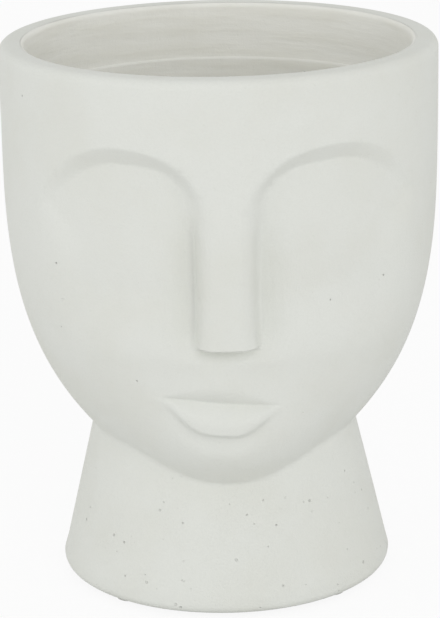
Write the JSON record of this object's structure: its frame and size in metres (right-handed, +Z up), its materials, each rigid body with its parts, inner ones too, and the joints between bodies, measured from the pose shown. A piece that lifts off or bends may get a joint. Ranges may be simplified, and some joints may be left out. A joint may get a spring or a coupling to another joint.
{
  "type": "head planter",
  "caption": "Plant pot shaped as a calm eyeless head on a flared neck, with a drain plug that lifts out of the floor.",
  "frame": {"origin": "centre of the footprint, on the surface that the planter stands on", "axes": "+Z up along the pot's axis, the face looks along -Y"},
  "size_m": [0.15, 0.1501, 0.19],
  "materials": {
    "bisque": "unglazed matt white, fine tooth, small pinholes",
    "plug_rubber": "soft matt black",
    "pad_rubber": "soft translucent grey"
  },
  "bodies": {
    "planter": {"planter_shell": "bisque", "base_pad_1": "pad_rubber", "base_pad_2": "pad_rubber", "base_pad_3": "pad_rubber", "base_pad_4": "pad_rubber"},
    "plug": {"drain_plug": "plug_rubber"}
  },
  "joints": [
    {"name": "plug_lift", "type": "slide", "parent": "planter", "child": "plug", "axis": [0, 0, 1], "range_m": [0, 0.19]}
  ]
}
